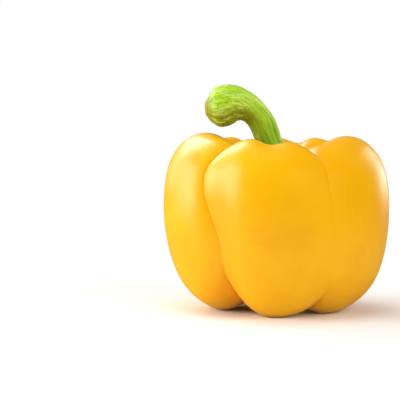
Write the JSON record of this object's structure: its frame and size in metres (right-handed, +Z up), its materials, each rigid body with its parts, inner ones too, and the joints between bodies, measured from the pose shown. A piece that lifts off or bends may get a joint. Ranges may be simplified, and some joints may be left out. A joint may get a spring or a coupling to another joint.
{
  "type": "bell pepper",
  "caption": "Whole ripe yellow bell pepper standing upright, with blocky lobes, a sunken star-shaped calyx and a curved green stem.",
  "frame": {"origin": "on the surface that the pepper stands on, under the middle of its bounding box", "axes": "+Z up along the pod's core, -Y towards the front lobe, +X to the right with the front lobe nearest; the stem bends towards -X"},
  "size_m": [0.09, 0.0896, 0.0899],
  "materials": {
    "pod_skin": "smooth waxy golden yellow skin with a soft sheen, yellower on one side and more orange in the grooves",
    "calyx_green": "crinkled satin mid-green",
    "stem_green": "satin yellow-green with fine lengthwise wrinkles and an olive yellow cut end"
  },
  "bodies": {
    "root": {"pod": "pod_skin", "calyx": "calyx_green", "stem": "stem_green"}
  },
  "joints": []
}
